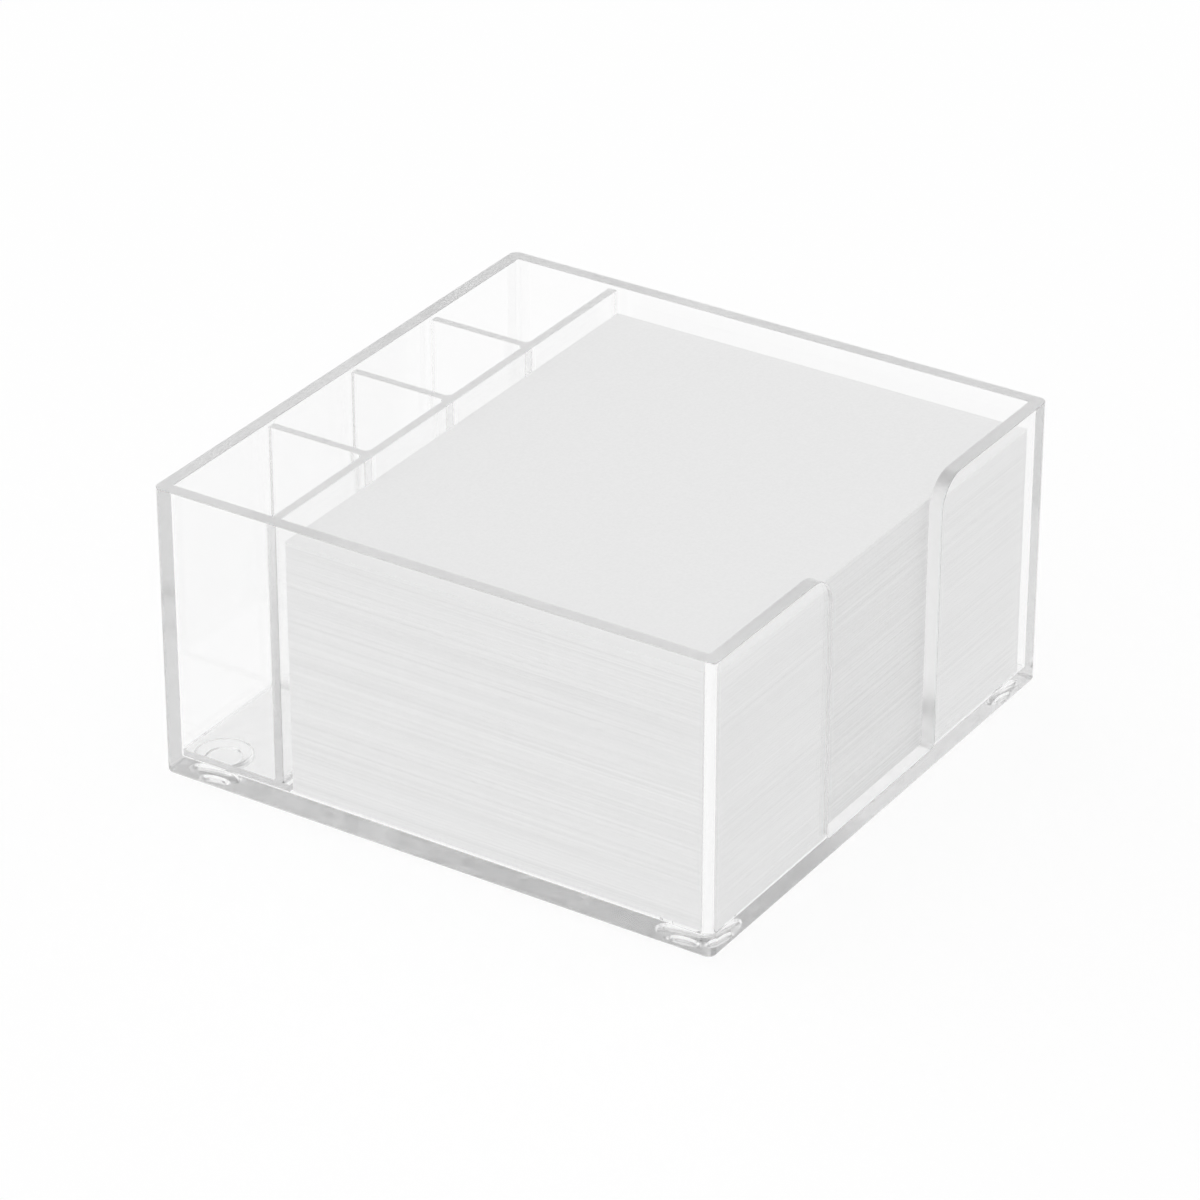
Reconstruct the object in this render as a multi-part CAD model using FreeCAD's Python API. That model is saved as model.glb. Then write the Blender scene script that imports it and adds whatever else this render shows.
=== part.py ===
import FreeCAD, Part
import os

# A clear moulded box for loose note paper, with a lift-out insert that makes small compartments.
# Millimetres. +Z is up, the notch faces -Y, and the origin is under the middle, on the plane of the feet.

# Note paper
SHEET_WIDTH = 92.4
SHEET_DEPTH = 75.0
SHEET_THICKNESS = 0.1
LOT_SHEETS = (62, 102, 91, 86, 85, 12)  # sheets in each lot, from the floor up
LOT_SHIFT = 0.2                         # lots stand this far off their place, to each side in turn
LOT_EDGE_RADIUS = 0.25                  # soft upright corners of the cut paper

# Room round the paper
PAPER_LEFT_CLEARANCE = 0.7              # the loose paper lies nearer to the left wall
PAPER_RIGHT_CLEARANCE = 2.2
PAPER_FRONT_CLEARANCE = 0.3
PAPER_REAR_CLEARANCE = 0.2

# Box body
WALL = 2.35
FLOOR = 3.0
BOX_HEIGHT = 50.5
CORNER_RADIUS = 1.5         # outer upright corners
INNER_CORNER_RADIUS = 0.2
BASE_EDGE_RADIUS = 0.6
FLOOR_FILLET = 0.15         # where the walls rise from the floor
RIM_EDGE_RADIUS = 0.3

# Thumb notch in the front wall
NOTCH_WIDTH = 32.8
NOTCH_SHOULDER_RADIUS = 5.5
NOTCH_FOOT_RADIUS = 1.0
NOTCH_SILL = 0.6            # the notch ends this far above the floor

# Compartment insert
PLATE_THICKNESS = 1.2
PLATE_TOE = 1.1             # the foot plate reaches this far in front of the divider
PLATE_CORNER_RADIUS = 0.4
DIVIDER_THICKNESS = 1.6
PARTITION_THICKNESS = 1.5
PARTITION_COUNT = 3
PARTITION_PITCH = 22.5
COMPARTMENT_DEPTH = 17.9    # from the divider to the rear edge of the insert
JOINT_FILLET = 1.0          # where a partition meets the divider
PLATE_FILLET = 0.5          # where the comb rises from the foot plate
INSERT_SIDE_CLEARANCE = 0.3
INSERT_REAR_CLEARANCE = 0.2
INSERT_DROP = 0.5           # the insert ends this far under the rim
REST_GAP = 0.05             # air film under a piece that stands on the floor

# Stick-on feet
FOOT_DIAMETER = 9.6
FOOT_TIP_DIAMETER = 6.0
FOOT_HEIGHT = 1.8
FOOT_EDGE = 0.4             # upright rim of a foot beside the adhesive
FOOT_INSET = 7.2            # from the outer faces of the box to the middle of a foot
ADHESIVE = 0.05

# Sizes that follow
INNER_WIDTH = PAPER_LEFT_CLEARANCE + SHEET_WIDTH + PAPER_RIGHT_CLEARANCE
BAY_DEPTH = PAPER_FRONT_CLEARANCE + SHEET_DEPTH + PAPER_REAR_CLEARANCE
PLATE_DEPTH = PLATE_TOE + DIVIDER_THICKNESS + COMPARTMENT_DEPTH
INNER_DEPTH = BAY_DEPTH + PLATE_DEPTH + INSERT_REAR_CLEARANCE
BOX_WIDTH = INNER_WIDTH + 2 * WALL
BOX_DEPTH = INNER_DEPTH + 2 * WALL
PLATE_WIDTH = INNER_WIDTH - 2 * INSERT_SIDE_CLEARANCE
UNDERSIDE = FOOT_HEIGHT + ADHESIVE
FLOOR_TOP = UNDERSIDE + FLOOR
RIM = UNDERSIDE + BOX_HEIGHT
FRONT_INSIDE = -INNER_DEPTH / 2
PAPER_MIDDLE = (PAPER_LEFT_CLEARANCE - PAPER_RIGHT_CLEARANCE) / 2
DIVIDER_FRONT = FRONT_INSIDE + BAY_DEPTH + PLATE_TOE
SILL = FLOOR_TOP + NOTCH_SILL

V = FreeCAD.Vector
UP = V(0, 0, 1)
TOUCH = 1e-6  # lengths closer than this are the same


def same(a, b):
    """True where two lengths are the same."""
    return abs(a - b) < TOUCH


def block(width, depth, height, x, y, z):
    """A box centred on x, starting at y and z."""
    return Part.makeBox(width, depth, height, V(x - width / 2, y, z))


def upright_edges(shape):
    """The edges that run straight up the shape."""
    return [e for e in shape.Edges if e.tangentAt(e.FirstParameter).isParallel(UP, TOUCH)]


def level_edges(shape, z):
    """The edges that lie in the level plane at z."""
    return [e for e in shape.Edges if same(e.BoundBox.ZMin, z) and same(e.BoundBox.ZMax, z)]


def rounded_block(width, depth, height, radius, x, y, z):
    """A box whose upright corners are round."""
    plain = block(width, depth, height, x, y, z)
    return plain.makeFillet(radius, upright_edges(plain))


def notch_tool():
    """The thumb notch as a solid: straight jambs, round shoulders at the rim and small radii at the sill."""
    half = NOTCH_WIDTH / 2
    shoulder = NOTCH_SHOULDER_RADIUS
    foot = NOTCH_FOOT_RADIUS
    near_sin = 0.5 ** 0.5
    y = FRONT_INSIDE - WALL

    def side(sign):
        sill = V(sign * (half - foot), y, SILL)
        foot_mid = V(sign * (half - foot + foot * near_sin), y, SILL + foot - foot * near_sin)
        jamb_low = V(sign * half, y, SILL + foot)
        jamb_high = V(sign * half, y, RIM - shoulder)
        shoulder_mid = V(sign * (half + shoulder - shoulder * near_sin), y, RIM - shoulder + shoulder * near_sin)
        rim = V(sign * (half + shoulder), y, RIM)
        above = V(sign * (half + shoulder), y, RIM + WALL)
        edges = [
            Part.Arc(sill, foot_mid, jamb_low).toShape(),
            Part.makeLine(jamb_low, jamb_high),
            Part.Arc(jamb_high, shoulder_mid, rim).toShape(),
            Part.makeLine(rim, above),
        ]
        return edges, sill, above

    right, right_sill, right_above = side(1)
    left, left_sill, left_above = side(-1)
    edges = right + left + [Part.makeLine(left_sill, right_sill), Part.makeLine(left_above, right_above)]
    outline = Part.Wire(Part.__sortEdges__(edges))
    return Part.Face(outline).extrude(V(0, WALL + PAPER_FRONT_CLEARANCE, 0))


def rim_edges(shape):
    """The edges of the rim and of the notch, on the outer face and on the inner face of the walls."""
    half = NOTCH_WIDTH / 2 + NOTCH_SHOULDER_RADIUS
    faces = (FRONT_INSIDE - WALL, FRONT_INSIDE)
    found = []
    for edge in shape.Edges:
        box = edge.BoundBox
        on_rim = same(box.ZMin, RIM)
        on_front = any(same(box.YMin, y) and same(box.YMax, y) for y in faces)
        in_notch = box.XMin > -half - TOUCH and box.XMax < half + TOUCH and box.ZMin > SILL - TOUCH
        across = same(box.XMin, box.XMax) and same(abs(box.XMin), half)
        if (on_rim and not across) or (on_front and in_notch):
            found.append(edge)
    return found


def box_body():
    """The moulded box: outer block with a round base edge, hollowed to the floor, with the notch cut out."""
    outer = rounded_block(BOX_WIDTH, BOX_DEPTH, BOX_HEIGHT, CORNER_RADIUS, 0, -BOX_DEPTH / 2, UNDERSIDE)
    outer = outer.makeFillet(BASE_EDGE_RADIUS, level_edges(outer, UNDERSIDE))
    hollow = rounded_block(INNER_WIDTH, INNER_DEPTH, BOX_HEIGHT, INNER_CORNER_RADIUS, 0, FRONT_INSIDE, FLOOR_TOP)
    hollow = hollow.makeFillet(FLOOR_FILLET, level_edges(hollow, FLOOR_TOP))
    body = outer.cut(hollow).cut(notch_tool()).removeSplitter()
    return body.makeFillet(RIM_EDGE_RADIUS, rim_edges(body))


def foot_edges(shape, front, z):
    """The edges where the comb rises from the foot plate, leaving out the plate's own outline."""
    rear = front + PLATE_DEPTH
    inside = PLATE_WIDTH / 2 - PLATE_CORNER_RADIUS
    found = []
    for edge in level_edges(shape, z):
        middle = edge.CenterOfMass
        if abs(middle.x) < inside and front + PLATE_CORNER_RADIUS < middle.y < rear - PLATE_CORNER_RADIUS:
            found.append(edge)
    return found


def compartment_insert():
    """The comb: a divider and partitions with filleted joints, standing on one thin foot plate."""
    bottom = FLOOR_TOP + REST_GAP
    height = RIM - INSERT_DROP - bottom
    comb = block(PLATE_WIDTH, DIVIDER_THICKNESS, height, 0, DIVIDER_FRONT, bottom)
    rear = DIVIDER_FRONT + DIVIDER_THICKNESS
    for place in range(PARTITION_COUNT):
        x = (place - (PARTITION_COUNT - 1) / 2) * PARTITION_PITCH
        comb = comb.fuse(block(PARTITION_THICKNESS, COMPARTMENT_DEPTH, height, x, rear, bottom))
    comb = comb.removeSplitter()
    joints = [e for e in upright_edges(comb)
              if same(e.BoundBox.YMin, rear) and not same(abs(e.BoundBox.XMin), PLATE_WIDTH / 2)]
    comb = comb.makeFillet(JOINT_FILLET, joints)
    front = DIVIDER_FRONT - PLATE_TOE
    plate = rounded_block(PLATE_WIDTH, PLATE_DEPTH, PLATE_THICKNESS, PLATE_CORNER_RADIUS, 0, front, bottom)
    insert = comb.fuse(plate).removeSplitter()
    return insert.makeFillet(PLATE_FILLET, foot_edges(insert, front, bottom + PLATE_THICKNESS))


def foot(x, y):
    """A clear bumper: a disc with a short upright edge that tapers to a smaller flat tip."""
    base = FOOT_DIAMETER / 2
    tip = FOOT_TIP_DIAMETER / 2
    shoulder = FOOT_HEIGHT - FOOT_EDGE
    points = [V(0, 0, 0), V(tip, 0, 0), V(base, 0, shoulder), V(base, 0, FOOT_HEIGHT), V(0, 0, FOOT_HEIGHT)]
    turned = Part.Face(Part.makePolygon(points + points[:1])).revolve(V(0, 0, 0), UP, 360)
    turned.translate(V(x, y, 0))
    return turned


def paper_lot(sheets, x, z):
    """Sheets lying flat on each other as one block, cut square with soft upright corners."""
    y = FRONT_INSIDE + PAPER_FRONT_CLEARANCE
    return rounded_block(SHEET_WIDTH, SHEET_DEPTH, sheets * SHEET_THICKNESS, LOT_EDGE_RADIUS, x, y, z)


def paper_stack():
    """The lots from the floor up, each a little to one side, and the loose sheet on top."""
    pieces = {}
    z = FLOOR_TOP + REST_GAP
    for place, sheets in enumerate(LOT_SHEETS):
        pieces[f"paper_lot_{place + 1}"] = paper_lot(sheets, PAPER_MIDDLE + LOT_SHIFT * (-1) ** place, z)
        z += sheets * SHEET_THICKNESS
    pieces["top_sheet"] = paper_lot(1, PAPER_MIDDLE, z)
    return pieces


def all_pieces():
    """Every piece of the holder, by name."""
    pieces = {"box_body": box_body(), "compartment_insert": compartment_insert()}
    x = BOX_WIDTH / 2 - FOOT_INSET
    y = BOX_DEPTH / 2 - FOOT_INSET
    for end, along in (("front", -y), ("rear", y)):
        for hand, across in (("left", -x), ("right", x)):
            pieces[f"foot_{end}_{hand}"] = foot(across, along)
    pieces.update(paper_stack())
    return pieces


os.makedirs("parts", exist_ok=True)
for name, shape in all_pieces().items():
    shape.exportStep(f"parts/{name}.step")
    size = shape.BoundBox
    print(f"{name}: {len(shape.Solids)} solid, valid {shape.isValid()}, {shape.Volume / 1000:.2f} cm3, "
          f"{size.XLength:.2f} x {size.YLength:.2f} x {size.ZLength:.2f} mm")
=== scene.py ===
# %% [markdown]
# A clear note paper holder
#
# The object is an open-topped box moulded in clear plastic. A comb-shaped insert of the same plastic
# makes a row of small compartments at the rear, a stack of loose white paper fills the bay in front, and
# four clear bumpers carry the box. Clear plastic has no colour of its own to paint: it shows by what it
# bends and by how far light travels inside it. So this lesson spends its care on exact, smooth shells,
# and on paper that has real sheet edges to show.

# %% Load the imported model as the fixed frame
import bpy
import math
import numpy as np
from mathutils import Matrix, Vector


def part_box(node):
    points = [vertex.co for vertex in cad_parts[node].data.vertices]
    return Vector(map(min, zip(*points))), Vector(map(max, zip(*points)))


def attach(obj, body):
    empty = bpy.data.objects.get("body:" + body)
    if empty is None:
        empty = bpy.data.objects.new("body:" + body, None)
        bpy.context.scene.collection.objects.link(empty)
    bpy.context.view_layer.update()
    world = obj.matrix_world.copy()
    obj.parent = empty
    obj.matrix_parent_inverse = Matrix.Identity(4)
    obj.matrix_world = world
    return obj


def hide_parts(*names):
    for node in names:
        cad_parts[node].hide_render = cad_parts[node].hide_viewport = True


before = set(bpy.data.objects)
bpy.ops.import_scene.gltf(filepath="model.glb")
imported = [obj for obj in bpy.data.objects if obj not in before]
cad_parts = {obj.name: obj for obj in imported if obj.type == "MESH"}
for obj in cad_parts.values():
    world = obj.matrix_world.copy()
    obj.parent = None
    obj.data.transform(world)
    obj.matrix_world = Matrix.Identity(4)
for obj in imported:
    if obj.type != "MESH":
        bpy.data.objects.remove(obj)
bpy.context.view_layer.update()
MM = 0.001


def span(node):
    """Lowest and highest corner of a CAD node, in millimetres."""
    return np.array([list(corner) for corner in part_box(node)]) / MM


BOX_LOW, BOX_HIGH = span("box_body")
print("nodes:", sorted(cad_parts))
print("box, mm:", np.round(BOX_LOW, 2), np.round(BOX_HIGH, 2))

# %% [markdown]
# Shader maths in plain expressions
#
# A finish is a small graph of nodes. It could be wired node by node, but that hides the formula. So one
# class wraps a socket and turns Python's operators into Math nodes, and its node method makes any other
# node from a type, settings and inputs.

# %% The class that wraps a socket


class Wire:
    """A socket of one node tree. Its operators add Math nodes, and node() adds any other node."""

    def __init__(self, tree, socket=None):
        self.tree = tree
        self.socket = socket

    def node(self, kind, settings=None, inputs=None, output=0):
        """Adds a node. Settings are attributes, and inputs are values or wires by socket name or index."""
        made = self.tree.nodes.new(kind)
        for name, value in (settings or {}).items():
            setattr(made, name, value)
        for name, value in (inputs or {}).items():
            if isinstance(value, Wire):
                self.tree.links.new(value.socket, made.inputs[name])
            else:
                made.inputs[name].default_value = value
        return Wire(self.tree, made.outputs[output]) if made.outputs else made

    def math(self, operation, *values):
        """A Math node on numbers or wires."""
        return self.node("ShaderNodeMath", {"operation": operation}, dict(enumerate(values)))

    def vector(self, operation, *values, output=0):
        """A Vector Math node on vectors or wires."""
        return self.node("ShaderNodeVectorMath", {"operation": operation}, dict(enumerate(values)), output)

    def __add__(self, other):
        return self.math("ADD", self, other)

    def __sub__(self, other):
        return self.math("SUBTRACT", self, other)

    def __rsub__(self, other):
        return self.math("SUBTRACT", other, self)

    def __mul__(self, other):
        return self.math("MULTIPLY", self, other)

    def __lt__(self, other):
        return self.math("LESS_THAN", self, other)

    def __gt__(self, other):
        return self.math("GREATER_THAN", self, other)

    __radd__ = __add__
    __rmul__ = __mul__


def new_material(name):
    """An empty material with node tools. Returns the material and a wire to build its graph with."""
    material = bpy.data.materials.new(name)
    material.use_nodes = True
    material.node_tree.nodes.clear()
    return material, Wire(material.node_tree)


print("shader tools ready:", Wire.__name__, new_material.__name__)

# %% [markdown]
# Camera
#
# The photograph was taken with a long lens from the left front corner, a little above the box. The camera
# could be placed by eye, but clear walls show every degree of error. So the rim's four corners and the
# base lines fix the view: its turn, its height, its distance and its lens. Light goes back and forth
# inside a clear wall many times before it leaves, so the picture allows many bounces.

# %% Camera at the photograph's viewing angle
VIEW_TURN = math.radians(-57.252)
VIEW_HEIGHT = math.radians(29.107)
VIEW_DISTANCE = 892.72 * MM
VIEW_LENS = 161.13
SENSOR_WIDTH = 36.0
NEAREST_VIEW = 0.05
AIM = np.array([33.528, 22.899, BOX_LOW[2]]) * MM
LIGHT_STEPS = 256

back = np.array([
    math.sin(VIEW_TURN) * math.cos(VIEW_HEIGHT),
    -math.cos(VIEW_TURN) * math.cos(VIEW_HEIGHT),
    math.sin(VIEW_HEIGHT),
])
camera_data = bpy.data.cameras.new("camera")
camera_data.lens = VIEW_LENS
camera_data.sensor_width = SENSOR_WIDTH
camera_data.clip_start = NEAREST_VIEW
camera = bpy.data.objects.new("camera", camera_data)
camera.location = AIM + back * VIEW_DISTANCE
camera.rotation_euler = (math.pi / 2 - VIEW_HEIGHT, 0.0, VIEW_TURN)
bpy.context.scene.collection.objects.link(camera)
bpy.context.scene.camera = camera
bpy.context.scene.view_settings.view_transform = "Standard"
paths = bpy.context.scene.cycles
paths.max_bounces = paths.glossy_bounces = paths.transmission_bounces = LIGHT_STEPS
paths.blur_glossy = 0.0
print("camera at, mm:", [round(value / MM, 1) for value in camera.location])

# %% [markdown]
# White tent
#
# The picture has a plain white ground and almost no shadow, which is the light of a white tent. Lamps
# could give it too, but each would show as a spot in the polished walls. So the light is the world
# itself: a soft white, a little brighter at the rear, so the paper's faces differ, with one soft grey
# panel at the far right. Clear edges have no grey of their own. They borrow it from what lies behind
# them, which is why a photographer of glass puts a darker panel outside the frame.

# %% World
TENT_LEVEL = 1.07
TENT_SLOPE = (0.0, 0.18, 0.0)
PANEL_SIDE = (0.85, 0.35, 0.4)
PANEL_DEPTH = 0.8
PANEL_FALL = 6.0
WHITE = (1.0, 1.0, 1.0, 1.0)

world = bpy.data.worlds.new("studio")
world.use_nodes = True
world.node_tree.nodes.clear()
sky = Wire(world.node_tree)
direction = sky.node("ShaderNodeTexCoord", output="Generated")
facing = sky.vector("DOT_PRODUCT", direction, PANEL_SIDE, output="Value")
panel = sky.math("POWER", sky.math("MAXIMUM", facing, 0.0), PANEL_FALL)
slope = sky.vector("DOT_PRODUCT", direction, TENT_SLOPE, output="Value")
strength = TENT_LEVEL + slope - PANEL_DEPTH * panel
tent = sky.node("ShaderNodeBackground", inputs={"Color": WHITE, "Strength": strength})
sky.node("ShaderNodeOutputWorld", inputs={"Surface": tent})
bpy.context.scene.world = world
print("tent: level", TENT_LEVEL, "panel towards", PANEL_SIDE)

# %% [markdown]
# White floor
#
# The sheet that the box stands on is as white as the ground behind it. A brighter lamp would make it so,
# but would wash out the paper. So the floor is a matt white that shines a little to the eye and through
# the plastic only, and it still takes the box's soft shadow.

# %% Floor
FLOOR_REACH = 3.0
FLOOR_GLOW = 0.82
FLOOR_WHITE = (0.98, 0.98, 0.98, 1.0)

floor_material, net = new_material("pale_floor")
kinds = ("Is Camera Ray", "Is Glossy Ray", "Is Transmission Ray")
straight, gloss, clear = (net.node("ShaderNodeLightPath", output=kind) for kind in kinds)
share = FLOOR_GLOW * net.math("MAXIMUM", straight, net.math("MAXIMUM", gloss, clear))
lit = net.node("ShaderNodeBsdfDiffuse", inputs={"Color": FLOOR_WHITE})
glow = net.node("ShaderNodeEmission", inputs={"Color": WHITE, "Strength": 1.0})
ground = net.node("ShaderNodeMixShader", inputs={0: share, 1: lit, 2: glow})
net.node("ShaderNodeOutputMaterial", inputs={"Surface": ground})

floor_mesh = bpy.data.meshes.new("floor")
square = np.array([(-1, -1, 0), (1, -1, 0), (1, 1, 0), (-1, 1, 0)]) * FLOOR_REACH
floor_mesh.from_pydata(square.tolist(), [], [(0, 1, 2, 3)])
floor_mesh.materials.append(floor_material)
floor = bpy.data.objects.new("floor", floor_mesh)
bpy.context.scene.collection.objects.link(floor)
print("floor reach, m:", FLOOR_REACH)

# %% [markdown]
# Surfaces from grids
#
# Mouldings could be cut from blocks with Boolean and Bevel, but the uneven faces that these leave would
# show in clear plastic as streaks. So every new piece is a grid of points: closed loops stacked in rows,
# each loop joined to the next, and a flat face at each end. Points are in millimetres until they enter
# the mesh. Where a round meets a flat, each face corner gets its own exact surface direction, so flats
# stay optically flat.

# %% From rows of loops to a mesh piece


def loop_faces(rows, columns):
    """Faces of a stack of closed loops: one between each two neighbours, and a flat one at each end."""
    number = np.arange(rows * columns).reshape(rows, columns)
    near = number[:-1]
    far = number[1:]
    sides = np.stack([near, np.roll(near, -1, axis=1), np.roll(far, -1, axis=1), far], axis=-1)
    return sides.reshape(-1, 4).tolist() + [number[0, ::-1].tolist(), number[-1].tolist()]


def corner_normals(arriving, leaving):
    """A direction for each face corner of a stack of loops, as it leaves a row and meets the next."""
    near, far = leaving[:-1], arriving[1:]
    sides = np.stack([near, np.roll(near, -1, axis=1), np.roll(far, -1, axis=1), far], axis=2)
    return np.concatenate([sides.reshape(-1, 3), arriving[0, ::-1], leaving[-1]])


def lift(plan, z):
    """Plan points with a height: x, y and z as one array."""
    return np.concatenate([plan, np.broadcast_to(z, plan.shape[:-1])[..., None]], axis=-1)


def add_piece(name, points, faces, material, node, body, normals=None, satin=None):
    """A mesh piece that stands for a CAD node. With normals, one for each face corner, round faces look
    round. satin is a share for each point, which the finish can read."""
    mesh = bpy.data.meshes.new(name)
    mesh.from_pydata((points.reshape(-1, 3) * MM).tolist(), [], faces)
    if normals is not None:
        mesh.polygons.foreach_set("use_smooth", np.ones(len(faces), dtype=bool))
        mesh.normals_split_custom_set(normals.tolist())
    if satin is not None:
        shares_of_satin = satin.astype(np.float32).ravel()
        mesh.attributes.new("satin", "FLOAT", "POINT").data.foreach_set("value", shares_of_satin)
    mesh.materials.append(material)
    piece = bpy.data.objects.new(name, mesh)
    bpy.context.scene.collection.objects.link(piece)
    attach(piece, body)
    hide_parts(node)
    print(name, "points", len(mesh.vertices), "faces", len(mesh.polygons))
    return piece


print("grid tools ready: a loop of 4 in 2 rows has", len(loop_faces(2, 4)), "faces")

# %% [markdown]
# Where the feet are stuck on
#
# A bumper's adhesive wets the plastic, so there is no air between the two and light goes on undisturbed.
# Both surfaces could be cut open there, but that would leave holes in the meshes. So a mask marks the
# wetted circles, and the finish is open where the mask is 1.

# %% Masks of the wetted faces
FOOT_RADIUS = 4.8
FOOT_INSET = 7.2
FOOT_PLACE = BOX_HIGH[:2] - FOOT_INSET
FILM = 0.005
FLATTEN = 200.0


def under_feet(net, place):
    """1 on the underside inside the four contact circles: a distance in plan from the folded centre, with
    height counted many times over."""
    stretch = (1.0, 1.0, FLATTEN)
    centre = np.array([*FOOT_PLACE, BOX_LOW[2]]) * MM * stretch
    folded = net.vector("MULTIPLY", net.vector("ABSOLUTE", place), stretch)
    return net.vector("DISTANCE", folded, centre, output="Value") < FOOT_RADIUS * MM


def top_of_foot(net, place):
    """1 on the upper face of a foot, where the adhesive lies."""
    height = net.node("ShaderNodeSeparateXYZ", inputs={0: place}, output="Z")
    return height > (BOX_LOW[2] - 2 * FILM) * MM


print("feet at, mm, either side of the middle:", np.round(FOOT_PLACE, 2))

# %% [markdown]
# Clear plastic
#
# Polished clear plastic bends light at its surface and swallows a very little of it on the way. A wall
# seen straight through is almost white, while light that enters at the rim runs down inside the wall for
# a long way and comes back grey, which is how the eye finds the edges. A see-through mix would be
# quicker, but it bends nothing. So the finish is a refracting surface with a thin grey absorption inside.
# The faces carry faint polish marks, the cut rims are satin, and the underside keeps the slight ripple of
# the mould.

# %% Finish of the box, the insert and the feet
PLASTIC_INDEX = 1.55
PLASTIC_ABSORPTION = 2.8
PLASTIC_RIPPLE = 0.12
FOOT_INDEX = 1.48
FOOT_ABSORPTION = 4.0
FOOT_RIPPLE = 0.0
POLISH_MARKS = 0.12
MARK_SCALE = 140.0
MARK_DETAIL = 4.0
SATIN_ROUGHNESS = 0.3
RIPPLE_SCALE = 300.0
RIPPLE_DETAIL = 1.0
RIPPLE_REACH = 0.1
RIPPLE_ELSEWHERE = 0.01
BLACK = (0.0, 0.0, 0.0, 1.0)


def clear_finish(name, index, absorption, ripple, wetted):
    """A clear shell: refraction, polish marks, satin edges, a ripple below and absorption per metre."""
    material, net = new_material(name)
    place = net.node("ShaderNodeTexCoord", output="Object")
    marks = net.node(
        "ShaderNodeTexNoise", inputs={"Vector": place, "Scale": MARK_SCALE, "Detail": MARK_DETAIL}
    )
    satin = net.node("ShaderNodeAttribute", {"attribute_name": "satin"}, output="Fac")
    waves = net.node(
        "ShaderNodeTexNoise", inputs={"Vector": place, "Scale": RIPPLE_SCALE, "Detail": RIPPLE_DETAIL}
    )
    height = net.node("ShaderNodeSeparateXYZ", inputs={0: place}, output="Z")
    below = height < (BOX_LOW[2] + RIPPLE_REACH) * MM
    force = RIPPLE_ELSEWHERE + (1 - RIPPLE_ELSEWHERE) * below
    bump = net.node("ShaderNodeBump", inputs={"Height": waves, "Strength": force, "Distance": ripple * MM})
    surface = net.node(
        "ShaderNodeBsdfPrincipled",
        inputs={
            "Base Color": WHITE,
            "Roughness": POLISH_MARKS * marks + SATIN_ROUGHNESS * satin,
            "Normal": bump,
            "IOR": index,
            "Transmission Weight": 1.0,
            "Alpha": 1.0 - wetted(net, place),
        },
    )
    inside = net.node("ShaderNodeVolumeAbsorption", inputs={"Color": BLACK, "Density": absorption})
    net.node("ShaderNodeOutputMaterial", inputs={"Surface": surface, "Volume": inside})
    return material


CLEAR_PLASTIC = clear_finish(
    "clear_plastic", PLASTIC_INDEX, PLASTIC_ABSORPTION, PLASTIC_RIPPLE, under_feet
)
CLEAR_FOOT = clear_finish("clear_foot", FOOT_INDEX, FOOT_ABSORPTION, FOOT_RIPPLE, top_of_foot)
print("clear finishes:", CLEAR_PLASTIC.name, CLEAR_FOOT.name)

# %% [markdown]
# Box: the plan
#
# The box is one moulding with a wall of even thickness and round upright corners. It could be a block
# with a Solidify wall, but the rounds have to stay apart: large outside, small inside, and sharper at the
# rim than below it, as a mould's core leaves them. So each corner is an arc of its own radius, taken in
# the same steps inside and outside.

# %% Round corners of a rectangle
WALL = 2.35
CORNER_RADIUS = 1.5
RIM_CORNER_RADIUS = 0.3
INNER_CORNER_RADIUS = 0.8
CORNER_STEPS = 17
QUARTER = math.pi / 2
OUTER_HALF = BOX_HIGH[:2]
INNER_HALF = OUTER_HALF - WALL


def corner_directions(steps):
    """Directions round the four corners, anticlockwise from the front right one, and the corners' signs."""
    turn = np.linspace(0, QUARTER, steps) + np.arange(-1, 3)[:, None] * QUARTER
    signs = np.array([(1, -1), (1, 1), (-1, 1), (-1, -1)])
    return np.stack([np.cos(turn), np.sin(turn)], axis=-1), signs[:, None, :]


def round_corners(half, radius):
    """Plan points of a rectangle's round corners: the arc's centre plus the radius in each direction."""
    around, signs = corner_directions(CORNER_STEPS)
    return (signs * (half - radius) + radius * around).reshape(-1, 2)


print("inside of the box, mm:", np.round(2 * INNER_HALF, 2))

# %% [markdown]
# Box: the thumb notch
#
# A notch in the front wall lets a thumb reach the paper. It could be cut out with a Boolean, but then the
# rim's round would stop at the cut. So the notch is a dip of the rim line itself: down a round shoulder,
# along the straight jamb and round a small foot to the sill just above the floor.

# %% Edge of the notch
FLOOR = 3.0
NOTCH_WIDTH = 32.8
NOTCH_SHOULDER_RADIUS = 5.5
NOTCH_FOOT_RADIUS = 1.0
NOTCH_SILL = 0.6
UNDERSIDE, RIM = BOX_LOW[2], BOX_HIGH[2]
FLOOR_TOP = UNDERSIDE + FLOOR
SILL = FLOOR_TOP + NOTCH_SILL


def notch_edge(steps):
    """The notch edge from left to right as (x, z) points and the edge's own outward directions: a foot arc
    and a shoulder arc, and the same mirrored."""
    turn = np.linspace(0, QUARTER, steps)
    half = NOTCH_WIDTH / 2
    rise = np.stack([np.sin(turn), -np.cos(turn)], axis=-1)
    foot = (half - NOTCH_FOOT_RADIUS, SILL + NOTCH_FOOT_RADIUS) + NOTCH_FOOT_RADIUS * rise
    bend = np.stack([-np.cos(turn), np.sin(turn)], axis=-1)
    centre = (half + NOTCH_SHOULDER_RADIUS, RIM - NOTCH_SHOULDER_RADIUS)
    shoulder = centre + NOTCH_SHOULDER_RADIUS * bend
    edge, out = np.concatenate([foot, shoulder]), np.concatenate([-rise, bend])
    mirror = (-1, 1)
    return np.concatenate([edge[::-1] * mirror, edge]), np.concatenate([out[::-1] * mirror, out])


print("notch from sill to rim, mm:", round(SILL, 2), round(RIM, 2))

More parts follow.
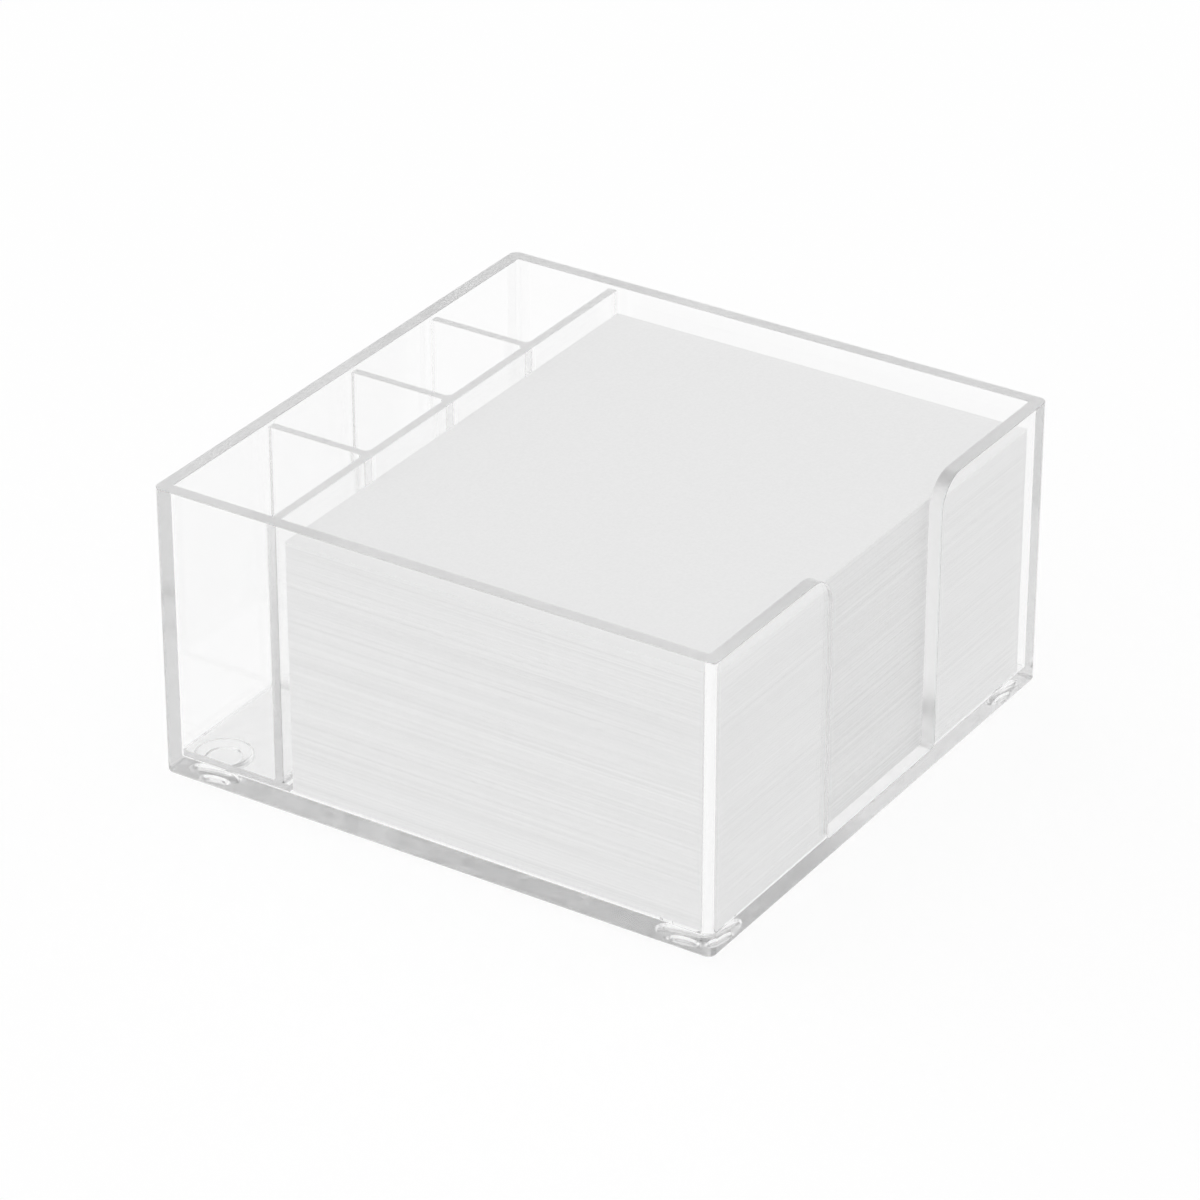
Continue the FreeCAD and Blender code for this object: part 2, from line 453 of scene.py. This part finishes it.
# %% [markdown]
# Box: the rim line
#
# One loop round the box carries all that the section needs: plan points outside and inside, at the rim
# and lower down, the height of the rim and two directions. Under the notch the points fan out, so that
# the faces of the front wall don't crowd together there.

# %% Columns round the box
NOTCH_FAN = 8.0
UP = np.array([0.0, 0.0, 1.0])


def box_columns():
    """The rim line round the box: plan points outside and inside, at the rim and below, heights and
    directions. Below the notch, x is moved outwards by a share of the fan that grows with height and falls
    to nothing at the box's corner."""
    edge, out = notch_edge(CORNER_STEPS)
    x, z = edge.T
    flat = OUTER_HALF[0] - CORNER_RADIUS
    share = (z - SILL) / (RIM - SILL) * (flat - np.abs(x)) / (flat - NOTCH_WIDTH / 2)
    fanned = x + np.sign(x) * NOTCH_FAN * share
    around = corner_directions(CORNER_STEPS)[0].reshape(-1, 2)
    outer = round_corners(OUTER_HALF, CORNER_RADIUS)
    inner = round_corners(INNER_HALF, RIM_CORNER_RADIUS)
    inner_base = round_corners(INNER_HALF, INNER_CORNER_RADIUS)
    front, inside = 0 * x - OUTER_HALF[1], 0 * x - INNER_HALF[1]
    return {
        "outer": np.concatenate([np.stack([x, front], -1), outer]),
        "outer_base": np.concatenate([np.stack([fanned, front], -1), outer]),
        "inner": np.concatenate([np.stack([x, inside], -1), inner]),
        "inner_base": np.concatenate([np.stack([fanned, inside], -1), inner_base]),
        "height": np.concatenate([z, np.full(len(outer), RIM)]),
        "face": lift(np.concatenate([np.stack([0 * x, 0 * x - 1], -1), around]), 0.0),
        "edge": np.concatenate([
            np.stack([out[:, 0], 0 * x, out[:, 1]], -1), np.tile(UP, (len(outer), 1))
        ]),
    }


print("columns round the box:", len(box_columns()["height"]))

# %% [markdown]
# Box: the section
#
# The section runs from the underside round the base edge, up the outer face, over the rim with a tiny
# round on both sides, down the inner face and into the floor. It is carried round the plan column by
# column. The rim is marked as satin, because its face is left as the mould parts and isn't polished as
# the walls are.

# %% Rows from the underside to the floor
BASE_EDGE_RADIUS = 0.6
FLOOR_FILLET = 0.15
RIM_EDGE_RADIUS = 0.08
RIM_SHARE = 0.97
EDGE_STEPS = 7


def box_rows(columns):
    """Rows of points and surface directions from the underside over the rim to the floor: each arc is its
    corner plus its radius times a quarter turn from one direction to the next."""
    turn = np.linspace(0, QUARTER, EDGE_STEPS)[:, None, None]
    out, edge = columns["face"], columns["edge"]
    rise, run = 1 - np.cos(turn), 1 - np.sin(turn)
    base = lift(columns["outer_base"], UNDERSIDE) + BASE_EDGE_RADIUS * (rise * UP - run * out)
    top_out = lift(columns["outer"], columns["height"])
    top_in = lift(columns["inner"], columns["height"])
    across = top_in - top_out
    across = across / np.linalg.norm(across, axis=-1, keepdims=True)
    rim_out = top_out + RIM_EDGE_RADIUS * (rise * across - run * edge)
    rim_in = top_in - RIM_EDGE_RADIUS * (run * across + rise * edge)
    floor_edge = lift(columns["inner_base"], FLOOR_TOP) + FLOOR_FILLET * (run * UP - rise * out)
    below = floor_edge[:1] + RIM_SHARE * (rim_in[-1:] - floor_edge[:1])
    on_corner = np.arange(len(edge)) >= len(edge) - 4 * CORNER_STEPS
    below[0, on_corner, :2] = columns["inner_base"][on_corner]
    points = np.concatenate([base, rim_out, rim_in, below, floor_edge])
    directions = np.concatenate([
        np.sin(turn) * out - np.cos(turn) * UP,
        np.cos(turn) * out + np.sin(turn) * edge,
        np.cos(turn) * edge - np.sin(turn) * out,
        -out[None],
        np.sin(turn) * UP - np.cos(turn) * out,
    ])
    return points, directions


def rim_satin(rows, columns):
    """1 on the two rows that bound the rim's flat face, and less and less round its edges."""
    row = np.arange(rows)[:, None] - (2 * EDGE_STEPS - 0.5)
    fade = np.clip((EDGE_STEPS - 0.5 - np.abs(row)) / (EDGE_STEPS - 1), 0, 1)
    return np.broadcast_to(fade, (rows, columns))


box_points, box_directions = box_rows(box_columns())
box_piece = add_piece(
    "box_shell",
    box_points,
    loop_faces(*box_points.shape[:2]),
    CLEAR_PLASTIC,
    "box_body",
    "box",
    corner_normals(box_directions, box_directions),
    rim_satin(*box_points.shape[:2]),
)

# %% [markdown]
# Compartment insert: corners and fillets
#
# The comb of divider and partitions is one moulding on a thin foot plate. Seen from above, its outline
# runs along the divider, into each pocket round two fillets and out again to the partition's rear end.
# Outer corners are all but sharp, because a round on so thin a clear wall shows as a dark line. A line of
# points with two directions each describes any stretch of that outline.

# %% Arcs of the comb and of the plate
DIVIDER_THICKNESS = 1.6
PARTITION_THICKNESS = 1.5
PLATE_TOE = 1.1
PLATE_CORNER_RADIUS = 0.01
JOINT_FILLET = 1.0
COMB_CORNER_RADIUS = 0.02
SMALL_STEPS = 4
INSERT_LOW, INSERT_HIGH = span("compartment_insert")
DIVIDER_FRONT = INSERT_LOW[1] + PLATE_TOE
DIVIDER_REAR = DIVIDER_FRONT + DIVIDER_THICKNESS
HALF_WIDTH, PLATE_FRONT, PLATE_REAR = INSERT_HIGH[0], INSERT_LOW[1], INSERT_HIGH[1]


def arc(centre, radius, start, end, steps=SMALL_STEPS, keep=(1, 1)):
    """Points, outward directions and fillet directions along an arc, angles in quarter turns. A negative
    radius gives a hollow arc, whose outside is towards its centre. keep leaves out fillets on faces that are
    flush with the plate."""
    turn = np.linspace(start, end, steps) * QUARTER
    way = np.stack([np.cos(turn), np.sin(turn)], axis=-1)
    out = way * np.sign(radius)
    return np.concatenate([centre + abs(radius) * way, out, out * keep], axis=1)


def tooth_side(middle, side):
    """One side of a partition, from the divider to its rear end: a hollow fillet and a rear corner."""
    face = PARTITION_THICKNESS / 2
    fillet = np.array([middle + side * (face + JOINT_FILLET), DIVIDER_REAR + JOINT_FILLET])
    rear = np.array([middle + side * (face - COMB_CORNER_RADIUS), PLATE_REAR - COMB_CORNER_RADIUS])
    inner = arc(fillet, -JOINT_FILLET, -1, -1 - side, 2 * SMALL_STEPS)
    outer = arc(rear, COMB_CORNER_RADIUS, 1 - side, 1, keep=(1, 0))
    return np.concatenate([inner, outer])


def divider_end(side, face_y, inward):
    """A front or rear corner of the divider at one of its ends, from the end face to the long face."""
    centre = np.array([side * (HALF_WIDTH - COMB_CORNER_RADIUS), face_y + inward * COMB_CORNER_RADIUS])
    return arc(centre, COMB_CORNER_RADIUS, 1 - side, -inward, keep=(0, 1))


def plate_corner(side, y, inward):
    """A corner of the foot plate, from its end to its long edge, as points and outward directions."""
    centre = np.array([side * (HALF_WIDTH - PLATE_CORNER_RADIUS), y + inward * PLATE_CORNER_RADIUS])
    return arc(centre, PLATE_CORNER_RADIUS, 1 - side, -inward)[:, :4]


print("divider from, to, mm:", round(DIVIDER_FRONT, 2), round(DIVIDER_REAR, 2))

# %% [markdown]
# Compartment insert: comb and plate in one loop
#
# The comb rises from the plate, so both outlines belong to one surface. They could be two pieces pushed
# into each other, but clear plastic would show the hidden faces. So each stretch of the comb's outline is
# paired with the stretch of plate outline that it faces, and no point of the loop lacks a partner.

# %% The insert's loop
PARTITION_PITCH = 22.5


def shares(points):
    """How far along a line each of its points lies, from 0 to 1."""
    steps = np.linalg.norm(np.diff(points[:, :2], axis=0), axis=1)
    length = np.concatenate([[0], np.cumsum(steps)])
    return length / length[-1]


def paired(comb, plate):
    """Both lines with points at the same shares of their lengths, side by side in one array."""
    own, other = shares(comb), shares(plate)
    every = np.union1d(own, other)
    comb_columns = [np.interp(every, own, values) for values in comb.T]
    plate_columns = [np.interp(every, other, values) for values in plate.T]
    return np.stack(comb_columns + plate_columns, axis=-1)


def insert_columns():
    """The insert's loop, anticlockwise: toe, end pocket, two middle pockets and the other end pocket."""
    front = np.concatenate([divider_end(-1, DIVIDER_FRONT, 1), divider_end(1, DIVIDER_FRONT, 1)[::-1]])
    toe = np.concatenate([
        front[:1, :4],
        plate_corner(-1, PLATE_FRONT, 1),
        plate_corner(1, PLATE_FRONT, 1)[::-1],
        front[-1:, :4],
    ])
    right = np.concatenate([divider_end(1, DIVIDER_REAR, -1), tooth_side(PARTITION_PITCH, 1)])
    right_plate = np.concatenate([right[:1, :4], plate_corner(1, PLATE_REAR, -1), right[-1:, :4]])
    pocket = np.concatenate([tooth_side(PARTITION_PITCH, -1)[::-1], tooth_side(0, 1)])
    next_pocket = pocket - np.array([PARTITION_PITCH, 0, 0, 0, 0, 0])
    mirror = np.array([-1, 1, -1, 1, -1, 1])
    end = paired(right, right_plate)
    return np.concatenate([
        paired(front, toe),
        end,
        paired(pocket, pocket[[0, -1], :4]),
        paired(next_pocket, next_pocket[[0, -1], :4]),
        end[::-1] * np.concatenate([mirror, mirror[:4]]),
    ])


print("columns round the insert:", len(insert_columns()))

# %% [markdown]
# Compartment insert: from the plate to the comb's top
#
# The rows of the insert start at the plate's own outline, cross its top, climb a small fillet into the
# comb's walls and end over the top edge. A mould makes the fillet so that the walls don't crack off the
# plate. The top face is satin as the box's rim is.

# %% Rows of the insert
PLATE_THICKNESS = 1.2
PLATE_FILLET = 0.5
PLATE_EDGE_DROP = 0.03
COMB_EDGE_RADIUS = 0.015
FLUSH = 0.5


def insert_rows(columns):
    """Rows from the plate's underside to the comb's top, and the directions in which each row is met and
    left: quarter turns from the plate's top into the wall, and from the wall into the comb's top."""
    turn = np.linspace(0, QUARTER, EDGE_STEPS)[:, None, None]
    plan, plate = columns[:, :2], columns[:, 6:8]
    out, toe, plate_out = (lift(columns[:, first:first + 2], 0.0) for first in (2, 4, 8))
    out = out / np.linalg.norm(out, axis=1, keepdims=True)
    plate_out = plate_out / np.linalg.norm(plate_out, axis=1, keepdims=True)
    bottom, top = INSERT_LOW[2], INSERT_HIGH[2]
    plate_top = bottom + PLATE_THICKNESS
    foot = lift(plan, plate_top) + PLATE_FILLET * ((1 - np.sin(turn)) * toe + (1 - np.cos(turn)) * UP)
    edge = lift(plan, top) - COMB_EDGE_RADIUS * ((1 - np.cos(turn)) * out + (1 - np.sin(turn)) * UP)
    points = np.concatenate([
        lift(plate, bottom)[None], lift(plate, plate_top - PLATE_EDGE_DROP)[None], foot, edge
    ])
    flush = np.linalg.norm(toe, axis=1, keepdims=True) < FLUSH
    level = np.where(flush, out, UP)
    into_wall = np.where(flush, out, np.sin(turn) * out + np.cos(turn) * UP)
    over_edge = np.cos(turn) * out + np.sin(turn) * UP
    arriving = np.concatenate([0 * out[None] - UP, plate_out[None], into_wall, over_edge])
    leaving = np.concatenate([plate_out[None], level[None], into_wall, over_edge])
    return points, arriving, leaving


insert_points, insert_arriving, insert_leaving = insert_rows(insert_columns())
top_row = np.arange(len(insert_points))[:, None] == len(insert_points) - 1
insert_piece = add_piece(
    "insert_shell",
    insert_points,
    loop_faces(*insert_points.shape[:2]),
    CLEAR_PLASTIC,
    "compartment_insert",
    "insert",
    corner_normals(insert_arriving, insert_leaving),
    np.broadcast_to(top_row, insert_points.shape[:2]),
)

# %% [markdown]
# Feet
#
# Each foot is a soft clear bumper: a low dome with a short upright edge and a small raised button at its
# tip. Through the clear floor its edge and its button show as two rings, one inside the other. A squashed
# sphere would be near it, but has neither ring. So a profile is turned about the foot's own axis. It
# reaches up to a hair under the box, where its adhesive is, and stops a hair above the ground.

# %% Four turned feet
FOOT_TIP_RADIUS = 3.0
FOOT_EDGE = 0.4
FOOT_STEPS = 64
FOOT_ROWS = 9
TIP_TURN = 0.6
STEP_RISE = 0.5
STEP_RUN = 0.15
TIP_CLEARANCE = 0.02


def foot_rows(centre):
    """A profile of radius and height turned about the foot's axis: a flat tip, a steep step, part of an
    ellipse and a short upright edge, with the directions met and left at each ring."""
    top = UNDERSIDE - FILM
    turn = np.linspace(TIP_TURN, QUARTER, FOOT_ROWS)
    swell = (FOOT_RADIUS - FOOT_TIP_RADIUS) / (1 - math.sin(TIP_TURN))
    rise = (top - FOOT_EDGE - TIP_CLEARANCE - STEP_RISE) / math.cos(TIP_TURN)
    dome = np.stack([
        FOOT_RADIUS - swell * (1 - np.sin(turn)), top - FOOT_EDGE - rise * np.cos(turn)
    ], axis=-1)
    out = np.stack([rise * np.sin(turn), -swell * np.cos(turn)], axis=-1)
    out = out / np.linalg.norm(out, axis=1, keepdims=True)
    tip = [(FOOT_TIP_RADIUS - STEP_RUN, TIP_CLEARANCE)]
    profile = np.concatenate([tip, dome, [(FOOT_RADIUS, top)]])
    step = np.array([(STEP_RISE, -STEP_RUN)]) / math.hypot(STEP_RISE, STEP_RUN)
    met = np.concatenate([[(0, -1)], step, out[1:], [(1, 0)]])
    left = np.concatenate([step, out, [(0, 1)]])
    around = np.linspace(0, 4 * QUARTER, FOOT_STEPS, endpoint=False)
    ring = np.stack([np.cos(around), np.sin(around)], axis=-1)
    arriving, leaving = (lift(way[:, None, :1] * ring, way[:, 1:]) for way in (met, left))
    return lift(centre + profile[:, None, :1] * ring, profile[:, 1:]), arriving, leaving


for end, along in (("front", -1), ("rear", 1)):
    for hand, side in (("left", -1), ("right", 1)):
        rings, ring_arriving, ring_leaving = foot_rows(FOOT_PLACE * (side, along))
        foot_name = f"foot_{end}_{hand}"
        foot_piece = add_piece(
            foot_name + "_bumper",
            rings,
            loop_faces(*rings.shape[:2]),
            CLEAR_FOOT,
            foot_name,
            "box",
            corner_normals(ring_arriving, ring_leaving),
        )

# %% [markdown]
# Paper finish
#
# Uncoated paper is a matt white with a faint tooth. On the sides of a stack the cut edges show as fine
# lines, and the gaps between the sheets hold shade, which makes those sides a little darker than the top.
# Every line could be a sheet of its own in the mesh, but a sheet is thinner than a pixel. So the finish
# draws the lines as a noise that is stretched along the sheets, below the topmost sheet only, partly as
# painted shade of the gaps. It also paints the sides darker than the top as painted shade.

# %% Finish of the paper
PAPER_DARK = (0.755, 0.755, 0.755, 1.0)
PAPER_PALE = (0.885, 0.885, 0.885, 1.0)
PAPER_ROUGHNESS = 0.9
TOOTH_SCALE = 2200.0
TOOTH_DETAIL = 2.0
TOOTH_DEPTH = 0.5
LINE_STRETCH = (12.0, 12.0, 5000.0)
LINE_DETAIL = 3.0
LINE_DEPTH = 1.4
# painted shade: how much darker the sides of the stack are coloured than its top
PAINTED_GAP_SHADE = 0.17
MIX_DARK, MIX_PALE, MIX_RESULT = 6, 7, 2

paper_material, net = new_material("note_paper")
place = net.node("ShaderNodeTexCoord", output="Object")
tooth = net.node(
    "ShaderNodeTexNoise", inputs={"Vector": place, "Scale": TOOTH_SCALE, "Detail": TOOTH_DETAIL}
)
# The line noise is partly painted shade: it stands for the shade in the gaps between sheets as well as the
# edges' own uneven tone
layered = net.vector("MULTIPLY", place, LINE_STRETCH)
lines = net.node("ShaderNodeTexNoise", inputs={"Vector": layered, "Scale": 1.0, "Detail": LINE_DETAIL})
height = net.node("ShaderNodeSeparateXYZ", inputs={0: place}, output="Z")
stacked = height < span("top_sheet")[0, 2] * MM
# Painted shade below the top sheet: the stack's sides are coloured darker than its top, and the line noise
# adds the gaps' shade
shade = 0.5 + TOOTH_DEPTH * (tooth - 0.5) + stacked * (LINE_DEPTH * (lines - 0.5) - PAINTED_GAP_SHADE)
colour = net.node(
    "ShaderNodeMix",
    {"data_type": "RGBA"},
    {"Factor": shade, MIX_DARK: PAPER_DARK, MIX_PALE: PAPER_PALE},
    output=MIX_RESULT,
)
fibre = net.node("ShaderNodeBsdfPrincipled", inputs={"Base Color": colour, "Roughness": PAPER_ROUGHNESS})
net.node("ShaderNodeOutputMaterial", inputs={"Surface": fibre})
print("paper finish:", paper_material.name, "with", len(paper_material.node_tree.nodes), "nodes")

# %% [markdown]
# Note paper: one outline and a thumbed corner
#
# Loose cut sheets never lie quite true: each is a little out of line with its neighbours. At one front
# corner the topmost sheets have been thumbed and stand up a little. Both could be sculpted, but a formula
# keeps the stack and the loose sheet on top of it together.

# %% Outline of a sheet and lift of its corner
SHEET_CORNER = 0.25
SHEET_CORNER_STEPS = 4
SIDE_STEPS = 30
CORNER_LIFT = 0.45
CORNER_REACH = np.array([17.0, 12.0])


def sheet_loop(low, high):
    """Outline of a cut sheet, anticlockwise: straight sides in even steps and small round corners."""
    around, signs = corner_directions(SHEET_CORNER_STEPS)
    half = (high - low) / 2
    corners = signs * (half - SHEET_CORNER) + SHEET_CORNER * around
    starts = corners[:, -1:]
    ends = np.roll(corners[:, :1], -1, axis=0)
    share = np.linspace(0, 1, SIDE_STEPS)[1:-1, None]
    sides = starts + share * (ends - starts)
    return (low + high) / 2 + np.concatenate([corners, sides], axis=1).reshape(-1, 2)


def thumbed(plan, corner):
    """How far the topmost sheet stands up: a bell that falls off with distance from the thumbed corner."""
    reach = (plan - corner) / CORNER_REACH
    return CORNER_LIFT * np.exp(-np.sum(reach * reach, axis=-1))


print("thumbed corner, mm:", CORNER_LIFT, "high, reach", CORNER_REACH)

# %% [markdown]
# Note paper: the lots
#
# The paper was put in by the handful, and each handful is a lot. Several hundred separate sheets would be
# far too many faces, and one plain block would have no edges to catch the light. So a lot is one surface
# whose sides step in and out: two loops for each sheet, and a seeded shift that stays the same in every
# run.

# %% Six lots of cut sheets
SHEET_THICKNESS = 0.1
SHEET_SHIFT = 0.012
LOT_SETTLE = 0.9
CAP_INSET = 4.0
rng = np.random.default_rng(7)
lots = sorted(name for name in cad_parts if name.startswith("paper_lot_"))
STACK_MIDDLE = np.mean([span(node) for node in lots], axis=(0, 1))[:2]


def lot_points(node, raised):
    """Two loops for each sheet, shifted a little out of line, between an inset loop at the foot and one on
    top. Most of the lot's own offset is taken back, as a lot settles against its neighbours."""
    low, high = span(node)
    count = int(round((high[2] - low[2]) / SHEET_THICKNESS))
    settled = LOT_SETTLE * (STACK_MIDDLE - (low + high)[:2] / 2)
    loop = sheet_loop(low[:2] + 2 * SHEET_SHIFT, high[:2] - 2 * SHEET_SHIFT) + settled
    shift = np.clip(rng.normal(0, SHEET_SHIFT, (count, 1, 2)), -2 * SHEET_SHIFT, 2 * SHEET_SHIFT)
    plan = np.repeat(loop + shift, 2, axis=0)
    step = np.arange(2 * count)
    height = low[2] + (high[2] - low[2]) * ((step + 1) // 2) / count
    bend = raised * (step[:, None] / (2 * count)) * thumbed(plan, low[:2])
    sheets = lift(plan, height[:, None] + bend)
    middle = (low + high)[:2] / 2
    inset = middle + (loop - middle) * (1 - CAP_INSET / (high - low)[:2])
    foot, top = lift(inset, low[2])[None], lift(inset, high[2])[None]
    return np.concatenate([foot, sheets, top])


for node in lots:
    stack = lot_points(node, raised=float(node == lots[-1]))
    stack_faces = loop_faces(*stack.shape[:2])
    lot_piece = add_piece(node + "_sheets", stack, stack_faces, paper_material, node, "stack")

# %% [markdown]
# Top sheet
#
# The uppermost sheet is a single loose one, which a thumb slides or lifts off. A plane with a Solidify
# wall would do for a flat one, but this one follows the thumbed corner below it. So it is a grid of
# points, upper and lower face, with the same bell added to its height.

# %% One thin loose sheet
SHEET_GRID = (94, 76)


def sheet_points(low, high):
    """Upper and lower grid of a thin sheet: plan from the node's box, height plus the thumbed bell."""
    x = np.linspace(low[0], high[0], SHEET_GRID[0])
    y = np.linspace(low[1], high[1], SHEET_GRID[1])
    plan = np.stack(np.meshgrid(x, y, indexing="ij"), axis=-1)
    raised = thumbed(plan, low[:2])
    return np.stack([lift(plan, high[2] + raised), lift(plan, low[2] + raised)])


def sheet_faces(shape):
    """Faces of the upper grid, of the lower grid turned over, and of the thin edge between them."""
    upper = np.arange(shape[0] * shape[1]).reshape(shape)
    lower = upper + upper.size
    rim = np.concatenate([upper[:-1, 0], upper[-1, :-1], upper[:0:-1, -1], upper[0, :0:-1]])
    next_rim = np.roll(rim, -1)
    over = np.stack([upper[:-1, :-1], upper[1:, :-1], upper[1:, 1:], upper[:-1, 1:]], -1)
    under = np.stack([lower[:-1, :-1], lower[:-1, 1:], lower[1:, 1:], lower[1:, :-1]], -1)
    edge = np.stack([rim + upper.size, next_rim + upper.size, next_rim, rim], -1)
    return np.concatenate([over.reshape(-1, 4), under.reshape(-1, 4), edge]).tolist()


sheet_grid = sheet_points(*span("top_sheet"))
sheet_piece = add_piece(
    "loose_sheet", sheet_grid, sheet_faces(SHEET_GRID), paper_material, "top_sheet", "sheet"
)
